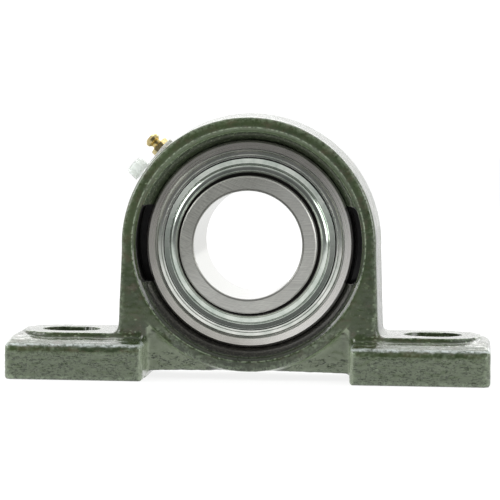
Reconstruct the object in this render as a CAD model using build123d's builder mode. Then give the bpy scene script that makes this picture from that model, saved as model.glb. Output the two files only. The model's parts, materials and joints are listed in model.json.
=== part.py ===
"""Pillow block bearing: cast housing on two slotted feet, with a spherical ball bearing insert."""

import os
from math import cos, radians, sin, sqrt, tan

from build123d import *

# All sizes are in millimetres and all angles in degrees. The origin lies on the base plane, below the
# middle of the bearing: X runs along the base, Y along the shaft and Z up. The front is at -Y.

# ---- Housing ----
bearing_height = 54.0  # base plane to shaft centre
base_length = 192.0
base_width = 54.0
foot_gap = 81.6  # between the feet, along X
foot_edge_height = 15.0  # top of a foot at its long edges
foot_ridge_height = 16.8  # top of a foot beside the pad
foot_ridge_width = 20.0
foot_rounding = 3.0
foot_bottom_rounding = 0.9
pad_height = 18.1  # raised seat for the bolt head
pad_width = 35.0
pad_end_wall = 7.6  # from the end of the slot to the end of the pad
pad_rise = 4.0
pad_draft = 12.0
pad_corner = 16.0
bolt_spacing = 146.0
slot_width = 17.0
slot_length = 23.0
arch_radius = 52.0  # outside of the arch on the parting plane
arch_width = 36.0
arch_flare = 2.0  # lean of the side walls below the bearing centre
arch_rim_rounding = 1.4
lower_rim_rounding = 1.0
casting_draft = 5.0
wall_fillet = 3.5  # between the side walls and the pads
waist_width = 27.0  # web between the feet
pocket_corner = 2.6
recess_height = 3.0  # under the base, between the feet
recess_crown = 0.5
recess_corner = 2.0
seat_width = 19.0  # spherical seat, measured along the shaft
seat_clearance = 0.03
mouth_radius = 44.7  # end of the cone that opens the seat
mouth_chamfer = 1.7
notch_height = 30.6  # loading notches beside the seat
notch_radius = 45.0
notch_corner = 3.2
grease_groove_width = 3.0
grease_groove_depth = 1.2

# ---- Bearing insert ----
shaft_bore_radius = 21.43125
sphere_radius = 42.5
outer_ring_width = 22.0
outer_ring_chamfer = 0.6
outer_ring_land_radius = 36.4
seal_seat_radius = 37.6
seal_seat_depth = 2.8
seal_seat_chamfer = 0.3
pitch_radius = 32.5
ball_radius = 6.35
ball_count = 9
first_ball_angle = 90.0
ball_play = 0.08
race_curve_radius = 6.6
inner_ring_front = 19.0  # short end, from the middle of the balls
inner_ring_back = 30.2  # long end, which carries the set screws
inner_ring_shoulder_radius = 28.6
inner_ring_shoulder_width = 25.4
inner_ring_end_radius = 27.2
inner_ring_chamfer = 0.7
inner_ring_edge = 0.5

# ---- Seals ----
plate_thickness = 0.5
shield_band_depth = 1.2  # outer flat of the shield below the ring's face
shield_groove_width = 0.9
shield_band_width = 2.3
shield_bore_radius = 31.0
shield_step = 1.0
shield_bend = 0.3
lip_clearance = 0.1
lip_thickness = 0.55
lip_bond_width = 2.4
axial_lip_gap = 0.15
flinger_hub_front = 13.1
flinger_hub_back = 11.2
flinger_bead_radius = 30.7
flinger_cone_radius = 31.7
flinger_cone_depth = 11.65
flinger_dish_radius = 32.4
flinger_dish_depth = 11.05
flinger_rim_radius = 33.8
flinger_bend = 0.6
flinger_dish_bend = 1.2
flinger_hub_bend = 0.3

# ---- Cage ----
cage_thickness = 1.0
cage_width = 5.0
pocket_clearance = 0.15
rivet_radius = 0.8
rivet_head_radius = 1.5
rivet_head_height = 0.6
rivet_head_taper = 40.0

# ---- Set screws ----
screw_radius = 3.9
screw_length = 7.5
screw_clearance = 0.1
screw_tip_gap = 0.45  # tip behind the bore wall when backed off
screw_from_end = 8.2
screw_angles = (99.0, -21.0)
screw_socket_flats = 4.0
screw_socket_depth = 3.5
screw_chamfer = 0.6
screw_cup_radius = 1.9
screw_cup_depth = 0.9
screw_cup_taper = 45.0

# ---- Grease nipple and its cap ----
nipple_angle = 135.0
nipple_lean = 4.0
grease_offset = 6.7  # nipple, groove and ring holes lie this far behind the balls' middle
spot_face_cut = 0.2
spot_face_radius = 5.6
nipple_thread_radius = 2.95
nipple_thread_clearance = 0.05
nipple_thread_gap = 1.5  # from the end of the thread to the grease groove
nipple_hole_runout = 0.4
nipple_hex_flats = 7.0
nipple_hex_height = 2.1
nipple_hex_chamfer_angle = 30.0
nipple_neck_radius = 2.05
nipple_neck_height = 1.3
nipple_head_radius = 3.1
nipple_head_height = 3.3
nipple_tip_radius = 1.9
nipple_chamber_radius = 1.45
nipple_orifice_radius = 0.7
nipple_orifice_length = 0.75
grease_passage_radius = 0.9
grease_hole_radius = 1.6
ring_hole_radius = 1.0
ring_hole_count = 3
check_ball_radius = 1.2
check_ball_play = 0.02
spring_wire_radius = 0.15
spring_turns = 4
tether_thickness = 1.7
tether_radius = 5.0
tether_bore_clearance = 0.1
strap_width = 2.6
strap_thickness = 0.6
cap_reach = 12.5
cap_radius = 3.95
cap_taper = 1.5
cap_wall = 0.5
cap_height = 4.65  # closed end to open end, without the dome
cap_dome = 0.6
cap_dome_taper = 60.0

# ---- Derived places ----
foot_end = base_length / 2
foot_inner = foot_gap / 2
foot_length = foot_end - foot_inner
slot_end = bolt_spacing / 2 + slot_length / 2
pad_end = slot_end + pad_end_wall
arch_face = arch_width / 2
waist_face = waist_width / 2
ring_half = outer_ring_width / 2
race_edge = ring_half - seal_seat_depth
race_bottom = pitch_radius - ball_radius - ball_play
race_top = pitch_radius + ball_radius + ball_play
cut_margin = 10.0  # how far outlines that are only cut away run past the casting
cut_past = 1.0  # how far cuts run past a face
screw_along = inner_ring_back - screw_from_end
screw_depth = shaft_bore_radius - inner_ring_end_radius - 3 * cut_past
ball_angles = [first_ball_angle + step * 360 / ball_count for step in range(ball_count)]
cap_top_radius = cap_radius - cap_height * tan(radians(cap_taper))

nipple_seat_radius = arch_radius - grease_offset * tan(radians(casting_draft)) - spot_face_cut
nipple_wall = nipple_seat_radius - sphere_radius - grease_groove_depth
nipple_thread_length = nipple_wall - nipple_thread_gap
nipple_hole_depth = nipple_thread_length + nipple_hole_runout

bearing_axis = Axis((0, 0, bearing_height), (0, 1, 0))
# Profiles of turned pieces: first number along the shaft, second number the radius.
turning = Plane(origin=(0, 0, bearing_height), x_dir=(0, 1, 0), z_dir=(1, 0, 0))


def around(angle, radius, along=0.0):
    """Point at an angle and radius about the shaft, seen from the front."""
    x = radius * cos(radians(angle))
    z = bearing_height + radius * sin(radians(angle))
    return (x, along, z)


def around_flat(angle, radius):
    """The same point in a sketch on the parting plane."""
    x, _, z = around(angle, radius)
    return (x, z)


def radial_plane(angle, radius, along):
    """Plane at a place about the shaft, facing straight out from it."""
    outward = (cos(radians(angle)), 0, sin(radians(angle)))
    return Plane(origin=around(angle, radius, along), x_dir=(0, 1, 0), z_dir=outward)


def sphere_at(along, radius=sphere_radius):
    """Radius of the ball-shaped surface at a distance along the shaft."""
    return sqrt(radius**2 - along**2)


def nipple_plane():
    """Flat seat of the nipple: X points down the arch towards the cap and Z out of the housing."""
    lean = radians(nipple_angle + nipple_lean)
    return Plane(
        origin=around(nipple_angle, nipple_seat_radius, grease_offset),
        x_dir=(-sin(lean), 0, cos(lean)),
        z_dir=(cos(lean), 0, sin(lean)),
    )


nipple_seat = nipple_plane()
nipple_axis = Axis(nipple_seat.origin, nipple_seat.z_dir)
# Profiles of the nipple's turned pieces: first number the radius, second the height over the seat.
nipple_turning = Plane(
    origin=nipple_seat.origin,
    x_dir=nipple_seat.x_dir,
    z_dir=-nipple_seat.y_dir,
)


def wall_line(height):
    """Half width of the arch's outside at a height below its crown, on the parting plane."""
    lean = radians(arch_flare)
    drop = bearing_height - height
    return arch_radius / cos(lean) + drop * tan(lean)


# ---------------------------------------------------------------- housing
with BuildPart() as foot:
    with BuildSketch(Plane.YZ.offset(foot_inner)):
        with BuildLine():
            Polyline(
                (-base_width / 2, 0),
                (base_width / 2, 0),
                (base_width / 2, foot_edge_height),
                (foot_ridge_width / 2, foot_ridge_height),
                (-foot_ridge_width / 2, foot_ridge_height),
                (-base_width / 2, foot_edge_height),
                close=True,
            )
        make_face()
    extrude(amount=foot_length)
    corners = foot.edges().filter_by(Axis.Z)
    long_edges = foot.edges().filter_by(Axis.X).group_by(Axis.Z)[1]
    end_tops = foot.edges().filter_by(lambda edge: edge.center().Z > foot_edge_height - foot_rounding)
    end_tops = end_tops.filter_by(Axis.X, reverse=True)
    fillet(corners + long_edges + end_tops, radius=foot_rounding)
    fillet(foot.faces().sort_by(Axis.Z)[0].edges(), radius=foot_bottom_rounding)

with BuildPart() as pad:
    flare_out = pad_rise * tan(radians(pad_draft))
    pad_inner = arch_radius - wall_fillet
    pad_length = pad_end + flare_out - pad_inner
    with BuildSketch(Plane.XY.offset(pad_height - pad_rise)):
        with Locations((pad_inner + pad_length / 2, 0)):
            outline = Rectangle(pad_length, pad_width + 2 * flare_out)
        fillet(outline.vertices().group_by(Axis.X)[-1], radius=pad_corner)
    extrude(amount=pad_rise, taper=pad_draft)

with BuildPart() as housing:
    # Arch: one half drawn on the parting plane and drawn in towards its face, then mirrored.
    with BuildSketch(Plane.XZ):
        with BuildLine():
            crown = CenterArc((0, bearing_height), arch_radius, -arch_flare, 180 + 2 * arch_flare)
            wall_end = wall_line(-cut_margin)
            Polyline(crown @ 0, (wall_end, -cut_margin), (-wall_end, -cut_margin), crown @ 1)
        make_face()
    extrude(amount=arch_face, taper=casting_draft)
    fillet(housing.faces().sort_by(Axis.Y)[0].edges(), radius=arch_rim_rounding)

    # Pockets either side of the arch's lower rim, which leave the waist between the feet.
    rim_radius = arch_radius - waist_face * tan(radians(casting_draft))
    with BuildSketch(Plane.XZ.offset(waist_face)) as pockets:
        with Locations((0, -cut_margin)):
            Rectangle(
                2 * foot_inner,
                bearing_height + 2 * cut_margin,
                align=(Align.CENTER, Align.MIN),
            )
        with Locations((0, bearing_height)):
            Circle(rim_radius, mode=Mode.SUBTRACT)
        tips = pockets.vertices().filter_by(lambda corner: corner.Y > 0)
        fillet(tips, radius=pocket_corner)
    extrude(amount=arch_face - waist_face + cut_past, taper=-casting_draft, mode=Mode.SUBTRACT)
    lower_rim = housing.faces().sort_by(Axis.Y)[0].edges().filter_by(GeomType.CIRCLE)
    fillet(lower_rim, radius=lower_rim_rounding)

    # Concave corner between the side walls and the pads.
    with BuildSketch(Plane.XZ):
        with BuildLine():
            wall_foot = wall_line(pad_height)
            bend = FilletPolyline(
                (wall_line(pad_height + 2 * wall_fillet), pad_height + 2 * wall_fillet),
                (wall_foot, pad_height),
                (wall_foot + 2 * wall_fillet, pad_height),
                radius=wall_fillet,
            )
            Polyline(
                bend @ 1,
                (wall_foot + 2 * wall_fillet, pad_height - pad_rise),
                (arch_radius - wall_fillet, pad_height - pad_rise),
                (arch_radius - wall_fillet, pad_height + 2 * wall_fillet),
                bend @ 0,
            )
        make_face()
        mirror(about=Plane.YZ)
    extrude(amount=arch_face - arch_rim_rounding, taper=casting_draft)
    mirror(about=Plane.XZ)

    # Feet with their pads.
    add(foot.part)
    add(pad.part)
    mirror(foot.part, about=Plane.YZ)
    mirror(pad.part, about=Plane.YZ)

    # Base plane, and the recess between the feet.
    with BuildSketch(Plane.XZ):
        with BuildLine():
            roof = ThreePointArc(
                (-foot_inner, recess_height),
                (0, recess_height + recess_crown),
                (foot_inner, recess_height),
            )
            Polyline(
                roof @ 1,
                (foot_inner, 0),
                (base_length, 0),
                (base_length, -2 * cut_margin),
                (-base_length, -2 * cut_margin),
                (-base_length, 0),
                (-foot_inner, 0),
                roof @ 0,
            )
        recess = make_face()
        roof_corners = recess.vertices().group_by(Axis.Y)[-1]
        fillet(roof_corners, radius=recess_corner)
    extrude(amount=base_width, both=True, mode=Mode.SUBTRACT)

    # Mouth, cone and spherical seat, with the grease groove.
    with BuildSketch(turning):
        with BuildLine():
            seat_half = seat_width / 2
            seat_radius = sphere_radius + seat_clearance
            seat_edge = sphere_at(seat_half, seat_radius)
            mouth_edge = arch_face - mouth_chamfer
            Polyline(
                (0, 0),
                (-arch_face - cut_past, 0),
                (-arch_face - cut_past, mouth_radius + mouth_chamfer + cut_past),
                (-mouth_edge, mouth_radius),
                (-seat_half, seat_edge),
            )
            ThreePointArc((-seat_half, seat_edge), (0, seat_radius), (seat_half, seat_edge))
            Polyline(
                (seat_half, seat_edge),
                (mouth_edge, mouth_radius),
                (arch_face + cut_past, mouth_radius + mouth_chamfer + cut_past),
                (arch_face + cut_past, 0),
                (0, 0),
            )
        make_face()
        with Locations((grease_offset, seat_radius)):
            Rectangle(grease_groove_width, 2 * grease_groove_depth)
    revolve(axis=bearing_axis, mode=Mode.SUBTRACT)

    # Loading notches, from the front face to the middle of the seat.
    with BuildSketch(Plane.XZ):
        with Locations((0, bearing_height)):
            Circle(notch_radius)
            Rectangle(2 * arch_radius, notch_height, mode=Mode.INTERSECT)
        notch = fillet(vertices(), radius=notch_corner)
    extrude(amount=arch_face + cut_past, mode=Mode.SUBTRACT)

    # Slots for the mounting bolts.
    with BuildSketch(Plane.XY):
        with GridLocations(bolt_spacing, 1, 2, 1):
            SlotOverall(slot_length, slot_width)
    extrude(amount=pad_height + cut_past, mode=Mode.SUBTRACT)

    # Flat seat, thread and grease passage for the nipple.
    with BuildSketch(nipple_seat):
        Circle(spot_face_radius)
    extrude(amount=pad_rise, mode=Mode.SUBTRACT)
    with BuildSketch(nipple_seat):
        Circle(nipple_thread_radius + nipple_thread_clearance)
    extrude(amount=-nipple_hole_depth, mode=Mode.SUBTRACT)
    with BuildSketch(nipple_seat):
        Circle(grease_hole_radius)
    extrude(amount=sphere_radius - nipple_seat_radius, mode=Mode.SUBTRACT)
housing.part.label = "housing"


# ---------------------------------------------------------------- rings
def race(centre, bottom, edge_radius):
    """Ball track as an arc from its edge at the front, through its bottom, to its edge at the back."""
    half = sqrt(race_curve_radius**2 - (edge_radius - centre) ** 2)
    return (-half, edge_radius), (0, bottom), (half, edge_radius)


with BuildPart() as outer_ring:
    ring_edge = ring_half - outer_ring_chamfer
    race_start, race_middle, race_finish = race(
        race_top - race_curve_radius, race_top, outer_ring_land_radius
    )
    with BuildSketch(turning):
        with BuildLine():
            ThreePointArc(race_start, race_middle, race_finish)
            front_side = Polyline(
                race_start,
                (-race_edge, outer_ring_land_radius),
                (-race_edge, seal_seat_radius),
                (-ring_half + seal_seat_chamfer, seal_seat_radius),
                (-ring_half, seal_seat_radius + seal_seat_chamfer),
                (-ring_half, sphere_at(ring_half) - outer_ring_chamfer),
                (-ring_edge, sphere_at(ring_edge)),
            )
            mirror(front_side, about=Plane.YZ)
            ThreePointArc(
                (-ring_edge, sphere_at(ring_edge)),
                (0, sphere_radius),
                (ring_edge, sphere_at(ring_edge)),
            )
        make_face()
    revolve(axis=bearing_axis)
    for hole in range(ring_hole_count):
        hole_angle = nipple_angle + hole * 360 / ring_hole_count
        with BuildSketch(radial_plane(hole_angle, sphere_radius, grease_offset)):
            Circle(ring_hole_radius)
    extrude(amount=outer_ring_land_radius - sphere_radius - cut_past, mode=Mode.SUBTRACT)
outer_ring.part.label = "outer_ring"

with BuildPart() as inner_ring:
    shoulder = inner_ring_shoulder_width / 2
    race_start, race_middle, race_finish = race(
        race_bottom + race_curve_radius, race_bottom, inner_ring_shoulder_radius
    )
    with BuildSketch(turning):
        with BuildLine():
            ThreePointArc(race_start, race_middle, race_finish)
            Polyline(
                race_start,
                (-shoulder, inner_ring_shoulder_radius),
                (-shoulder, inner_ring_end_radius),
                (-inner_ring_front + inner_ring_edge, inner_ring_end_radius),
                (-inner_ring_front, inner_ring_end_radius - inner_ring_edge),
                (-inner_ring_front, shaft_bore_radius + inner_ring_chamfer),
                (-inner_ring_front + inner_ring_chamfer, shaft_bore_radius),
                (inner_ring_back - inner_ring_chamfer, shaft_bore_radius),
                (inner_ring_back, shaft_bore_radius + inner_ring_chamfer),
                (inner_ring_back, inner_ring_end_radius - inner_ring_edge),
                (inner_ring_back - inner_ring_edge, inner_ring_end_radius),
                (shoulder, inner_ring_end_radius),
                (shoulder, inner_ring_shoulder_radius),
                race_finish,
            )
        make_face()
    revolve(axis=bearing_axis)
    for angle in screw_angles:
        with BuildSketch(radial_plane(angle, inner_ring_end_radius + cut_past, screw_along)):
            Circle(screw_radius + screw_clearance)
    extrude(amount=screw_depth, mode=Mode.SUBTRACT)
inner_ring.part.label = "inner_ring"

# ---------------------------------------------------------------- balls and cage
ball_places = [around(angle, pitch_radius) for angle in ball_angles]
rivet_angles = [angle + 180 / ball_count for angle in ball_angles]


def ball(place):
    """One ball at its place on the pitch circle."""
    with BuildPart() as sphere:
        with Locations(place):
            Sphere(ball_radius)
    return sphere.part


with BuildPart() as cage_front:
    pocket_radius = ball_radius + pocket_clearance
    cup_radius = pocket_radius + cage_thickness
    with BuildSketch(Plane.XZ):
        with Locations((0, bearing_height)):
            Circle(pitch_radius + cage_width / 2)
            Circle(pitch_radius - cage_width / 2, mode=Mode.SUBTRACT)
    extrude(amount=cage_thickness)
    with Locations(ball_places):
        Sphere(cup_radius)
    with BuildSketch(Plane.XZ):
        with Locations((0, bearing_height)):
            Circle(pitch_radius + cage_width / 2)
            Circle(pitch_radius - cage_width / 2, mode=Mode.SUBTRACT)
    extrude(amount=cup_radius + cut_past, mode=Mode.INTERSECT)
    with Locations(ball_places):
        Sphere(pocket_radius, mode=Mode.SUBTRACT)
    with BuildSketch(Plane.XZ):
        with Locations([around_flat(angle, pitch_radius) for angle in rivet_angles]):
            Circle(rivet_radius)
    extrude(amount=2 * cage_thickness, mode=Mode.SUBTRACT)
cage_front.part.label = "cage_front"

with BuildPart() as cage_back:
    add(cage_front.part, rotation=(0, 0, 180))
cage_back.part.label = "cage_back"

with BuildPart() as cage_rivets:
    with BuildSketch(Plane.XZ):
        with Locations([around_flat(angle, pitch_radius) for angle in rivet_angles]):
            Circle(rivet_radius)
    extrude(amount=cage_thickness, both=True)
    for side in (1, -1):
        with BuildSketch(Plane.XZ.offset(side * cage_thickness)):
            with Locations([around_flat(angle, pitch_radius) for angle in rivet_angles]):
                Circle(rivet_head_radius)
        extrude(amount=side * rivet_head_height, taper=rivet_head_taper)
cage_rivets.part.label = "cage_rivets"

# ---------------------------------------------------------------- seals
with BuildPart() as seal_shield_front:
    flange_depth = race_edge + plate_thickness / 2
    band_depth = ring_half - shield_band_depth - plate_thickness / 2
    inner_depth = band_depth - shield_step
    band_outer = seal_seat_radius - shield_groove_width
    band_inner = band_outer - shield_band_width
    with BuildSketch(turning):
        with BuildLine():
            FilletPolyline(
                (-flange_depth, seal_seat_radius),
                (-flange_depth, band_outer),
                (-band_depth, band_outer - plate_thickness / 4),
                (-band_depth, band_inner),
                (-inner_depth, band_inner - plate_thickness / 2),
                (-inner_depth, shield_bore_radius),
                radius=shield_bend,
            )
        trace(line_width=plate_thickness)
    revolve(axis=bearing_axis)
seal_shield_front.part.label = "seal_shield_front"

with BuildPart() as seal_lip_front:
    bond_face = inner_depth + plate_thickness / 2
    back_face = inner_depth - plate_thickness / 2
    lip_root = bond_face + lip_thickness
    flinger_back = flinger_dish_depth - plate_thickness / 2
    shaft_lip_radius = inner_ring_shoulder_radius + lip_clearance
    with BuildSketch(turning):
        with BuildLine():
            Polyline(
                (-back_face, shield_bore_radius),
                (-back_face, shield_bore_radius - lip_thickness),
                (-bond_face, shaft_lip_radius),
                (-bond_face - lip_thickness / 2, shaft_lip_radius),
                (-lip_root, shield_bore_radius - lip_thickness),
                (-lip_root, flinger_cone_radius),
                (-flinger_back + axial_lip_gap, flinger_dish_radius),
                (-flinger_back + axial_lip_gap, flinger_dish_radius + lip_thickness / 2),
                (-lip_root, flinger_cone_radius + 1.5 * lip_thickness),
                (-lip_root, shield_bore_radius + lip_bond_width),
                (-bond_face, shield_bore_radius + lip_bond_width),
                (-bond_face, shield_bore_radius),
                close=True,
            )
        make_face()
    revolve(axis=bearing_axis)
seal_lip_front.part.label = "seal_lip_front"

with BuildPart() as flinger_front:
    hub_radius = inner_ring_shoulder_radius + plate_thickness / 2
    hub_face = flinger_hub_front - plate_thickness / 2
    with BuildSketch(turning):
        with BuildLine():
            FilletPolyline(
                (-flinger_hub_back, hub_radius),
                (-hub_face, hub_radius),
                (-hub_face, flinger_bead_radius),
                (-flinger_cone_depth, flinger_cone_radius),
                (-flinger_dish_depth, flinger_dish_radius),
                (-flinger_dish_depth, flinger_rim_radius),
                radius=(flinger_hub_bend, flinger_bend, flinger_bend, flinger_dish_bend),
            )
        trace(line_width=plate_thickness)
    revolve(axis=bearing_axis)
flinger_front.part.label = "flinger_front"

with BuildPart() as seal_shield_back:
    mirror(seal_shield_front.part, about=Plane.XZ)
seal_shield_back.part.label = "seal_shield_back"

with BuildPart() as seal_lip_back:
    mirror(seal_lip_front.part, about=Plane.XZ)
seal_lip_back.part.label = "seal_lip_back"

with BuildPart() as flinger_back_ring:
    mirror(flinger_front.part, about=Plane.XZ)
flinger_back_ring.part.label = "flinger_back"


# ---------------------------------------------------------------- set screws
def set_screw(angle):
    """Socket set screw with a cup point, backed off until its point clears the bore."""
    point = radial_plane(angle, shaft_bore_radius + screw_tip_gap, screw_along)
    outward = Axis(point.origin, point.z_dir)
    with BuildPart() as screw:
        with BuildSketch(point):
            Circle(screw_radius)
        extrude(amount=screw_length)
        chamfer(screw.faces().sort_by(outward)[0].edges(), length=screw_chamfer)
        chamfer(screw.faces().sort_by(outward)[-1].edges(), length=screw_chamfer)
        with BuildSketch(point):
            Circle(screw_cup_radius)
        extrude(amount=screw_cup_depth, taper=screw_cup_taper, mode=Mode.SUBTRACT)
        with BuildSketch(point.offset(screw_length)):
            RegularPolygon(screw_socket_flats / 2, 6, major_radius=False)
        extrude(amount=-screw_socket_depth, mode=Mode.SUBTRACT)
    return screw.part


# ---------------------------------------------------------------- grease nipple
hex_bottom = tether_thickness
hex_top = hex_bottom + nipple_hex_height
neck_top = hex_top + nipple_neck_height
nipple_top = neck_top + nipple_head_height
head_slope = nipple_head_radius - nipple_neck_radius
chamber_top = nipple_top - nipple_orifice_length - (nipple_chamber_radius - nipple_orifice_radius)

with BuildPart() as nipple_hexagon:
    hex_half = nipple_hex_flats / 2
    hex_corner = hex_half / cos(radians(30))
    hex_bevel = (hex_corner - hex_half) * tan(radians(nipple_hex_chamfer_angle))
    with BuildSketch(nipple_seat.offset(hex_bottom)):
        RegularPolygon(hex_half, 6, major_radius=False)
    extrude(amount=nipple_hex_height)
    with BuildSketch(nipple_turning):
        with BuildLine():
            Polyline(
                (0, hex_bottom),
                (hex_half, hex_bottom),
                (hex_corner, hex_bottom + hex_bevel),
                (hex_corner, hex_top - hex_bevel),
                (hex_half, hex_top),
                (0, hex_top),
                close=True,
            )
        make_face()
    revolve(axis=nipple_axis, mode=Mode.INTERSECT)

with BuildPart() as grease_nipple:
    with BuildSketch(nipple_turning):
        with BuildLine():
            Polyline(
                (0, -nipple_thread_length),
                (nipple_thread_radius, -nipple_thread_length),
                (nipple_thread_radius, hex_top),
                (nipple_neck_radius, hex_top + (nipple_thread_radius - nipple_neck_radius) / 2),
                (nipple_neck_radius, neck_top),
                (nipple_head_radius, neck_top + head_slope),
                (nipple_head_radius, nipple_top - head_slope),
                (nipple_tip_radius, nipple_top),
                (0, nipple_top),
                close=True,
            )
        make_face()
    revolve(axis=nipple_axis)
    add(nipple_hexagon.part)
    with BuildSketch(nipple_turning):
        with BuildLine():
            Polyline(
                (0, -nipple_thread_length - cut_past),
                (grease_passage_radius, -nipple_thread_length - cut_past),
                (grease_passage_radius, hex_bottom),
                (nipple_chamber_radius, hex_bottom),
                (nipple_chamber_radius, chamber_top),
                (nipple_orifice_radius, nipple_top - nipple_orifice_length),
                (nipple_orifice_radius, nipple_top + cut_past),
                (0, nipple_top + cut_past),
                close=True,
            )
        make_face()
    revolve(axis=nipple_axis, mode=Mode.SUBTRACT)
grease_nipple.part.label = "grease_nipple"

# The check ball closes the cone above the chamber, which slopes at 45 degrees.
check_ball_height = chamber_top + nipple_chamber_radius - (check_ball_radius + check_ball_play) * sqrt(2)
with BuildPart() as nipple_check_ball:
    with Locations(nipple_seat.offset(check_ball_height).origin):
        Sphere(check_ball_radius)
nipple_check_ball.part.label = "nipple_check_ball"

spring_radius = nipple_chamber_radius - spring_wire_radius - nipple_thread_clearance
spring_reach = sqrt((check_ball_radius + spring_wire_radius) ** 2 - spring_radius**2)
spring_start = hex_bottom + spring_wire_radius
spring_length = check_ball_height - spring_reach - spring_start - check_ball_play
with BuildPart() as nipple_spring:
    with BuildLine() as coil:
        Helix(
            pitch=spring_length / spring_turns,
            height=spring_length,
            radius=spring_radius,
            center=nipple_seat.offset(spring_start).origin,
            direction=nipple_seat.z_dir,
        )
    with BuildSketch(Plane(origin=coil.line @ 0, z_dir=coil.line % 0)):
        Circle(spring_wire_radius)
    sweep(path=coil.line, is_frenet=True)
nipple_spring.part.label = "nipple_spring"

# Tether ring under the nipple's hexagon, strap and dust cap, moulded in one.
with BuildPart() as nipple_cap:
    strap_bottom = tether_thickness - strap_thickness
    with BuildSketch(nipple_seat):
        Circle(tether_radius)
    extrude(amount=tether_thickness)
    with BuildSketch(nipple_seat.offset(strap_bottom)):
        with Locations((cap_reach / 2, 0)):
            Rectangle(cap_reach, strap_width)
    extrude(amount=strap_thickness)
    with BuildSketch(nipple_seat.offset(strap_bottom)):
        with Locations((cap_reach, 0)):
            Circle(cap_radius)
    extrude(amount=cap_height, taper=cap_taper)
    with BuildSketch(nipple_seat.offset(strap_bottom + cap_height)):
        with Locations((cap_reach, 0)):
            Circle(cap_top_radius)
    extrude(amount=cap_dome, taper=cap_dome_taper)
    with BuildSketch(nipple_seat.offset(strap_bottom)):
        with Locations((cap_reach, 0)):
            Circle(cap_radius - cap_wall)
        Circle(nipple_thread_radius + tether_bore_clearance)
    extrude(amount=cap_height, mode=Mode.SUBTRACT)
    with BuildSketch(nipple_seat):
        Circle(nipple_thread_radius + tether_bore_clearance)
    extrude(amount=tether_thickness, mode=Mode.SUBTRACT)
nipple_cap.part.label = "nipple_cap"

# ---------------------------------------------------------------- export
pieces = {
    "housing": housing.part,
    "outer_ring": outer_ring.part,
    "inner_ring": inner_ring.part,
    "cage_front": cage_front.part,
    "cage_back": cage_back.part,
    "cage_rivets": cage_rivets.part,
    "seal_shield_front": seal_shield_front.part,
    "seal_shield_back": seal_shield_back.part,
    "seal_lip_front": seal_lip_front.part,
    "seal_lip_back": seal_lip_back.part,
    "flinger_front": flinger_front.part,
    "flinger_back": flinger_back_ring.part,
    "grease_nipple": grease_nipple.part,
    "nipple_check_ball": nipple_check_ball.part,
    "nipple_spring": nipple_spring.part,
    "nipple_cap": nipple_cap.part,
}
for number, place in enumerate(ball_places, start=1):
    pieces[f"ball_{number}"] = ball(place)
for number, angle in enumerate(screw_angles, start=1):
    pieces[f"set_screw_{number}"] = set_screw(angle)

os.makedirs("parts", exist_ok=True)
for name, piece in pieces.items():
    piece.label = name
    export_step(piece, f"parts/{name}.step")
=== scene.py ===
"""Looks of the pillow block bearing: cast skin, seals, metals, nipple and studio."""

import json
import math
from types import SimpleNamespace

import bmesh
import bpy
import numpy as np
from mathutils import Matrix, Vector, kdtree, noise


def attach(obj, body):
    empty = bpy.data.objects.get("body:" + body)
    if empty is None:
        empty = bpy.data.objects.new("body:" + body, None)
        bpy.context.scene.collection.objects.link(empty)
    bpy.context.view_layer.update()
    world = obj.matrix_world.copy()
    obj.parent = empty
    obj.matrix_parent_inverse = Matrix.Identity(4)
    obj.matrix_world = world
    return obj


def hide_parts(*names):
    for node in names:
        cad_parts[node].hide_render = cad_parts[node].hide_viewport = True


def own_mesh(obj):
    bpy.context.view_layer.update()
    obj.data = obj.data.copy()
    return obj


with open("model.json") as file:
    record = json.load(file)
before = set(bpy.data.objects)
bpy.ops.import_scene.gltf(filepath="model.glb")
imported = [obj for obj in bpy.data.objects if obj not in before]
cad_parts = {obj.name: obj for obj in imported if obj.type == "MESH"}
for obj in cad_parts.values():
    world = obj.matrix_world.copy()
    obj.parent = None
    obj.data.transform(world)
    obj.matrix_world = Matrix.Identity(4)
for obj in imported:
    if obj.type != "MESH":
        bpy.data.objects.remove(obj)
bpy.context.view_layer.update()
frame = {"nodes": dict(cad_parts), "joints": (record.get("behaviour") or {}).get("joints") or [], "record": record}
nodes = frame["nodes"]

MM = 0.001
BEARING_HEIGHT = 54 * MM  # base to the middle of the shaft

# ---------------- camera
IMAGE_SIZE = 500
CAMERA_YAW = math.radians(4.907)  # towards +X
CAMERA_PITCH = math.radians(3.494)
CAMERA_ROLL = math.radians(0.503)
CAMERA_TARGET = Vector((-0.76 * MM, 0, 50.94 * MM))
CAMERA_DISTANCE = 1003.27 * MM
CAMERA_CLIP = (0.01, 20)  # metres
FOCAL_PIXELS = 2494.26
SENSOR_WIDTH = 36.0


def make_camera():
    """Camera at the photograph's viewing angle."""
    forward = Vector(
        (
            -math.sin(CAMERA_YAW) * math.cos(CAMERA_PITCH),
            math.cos(CAMERA_YAW) * math.cos(CAMERA_PITCH),
            -math.sin(CAMERA_PITCH),
        )
    )
    right = Vector((math.cos(CAMERA_YAW), math.sin(CAMERA_YAW), 0))
    up = right.cross(forward)
    rolled_right = right * math.cos(CAMERA_ROLL) + up * math.sin(CAMERA_ROLL)
    rolled_up = up * math.cos(CAMERA_ROLL) - right * math.sin(CAMERA_ROLL)
    data = bpy.data.cameras.new("camera")
    data.sensor_width = SENSOR_WIDTH
    data.lens = FOCAL_PIXELS / IMAGE_SIZE * SENSOR_WIDTH
    data.clip_start, data.clip_end = CAMERA_CLIP
    camera = new_object("camera", data)
    turn = Matrix((rolled_right, rolled_up, -forward)).transposed().to_4x4()
    camera.matrix_world = Matrix.Translation(CAMERA_TARGET - forward * CAMERA_DISTANCE) @ turn
    bpy.context.scene.camera = camera


def new_object(name, data):
    """Object in the scene for a mesh, a lamp or a camera."""
    item = bpy.data.objects.new(name, data)
    bpy.context.scene.collection.objects.link(item)
    return item


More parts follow.
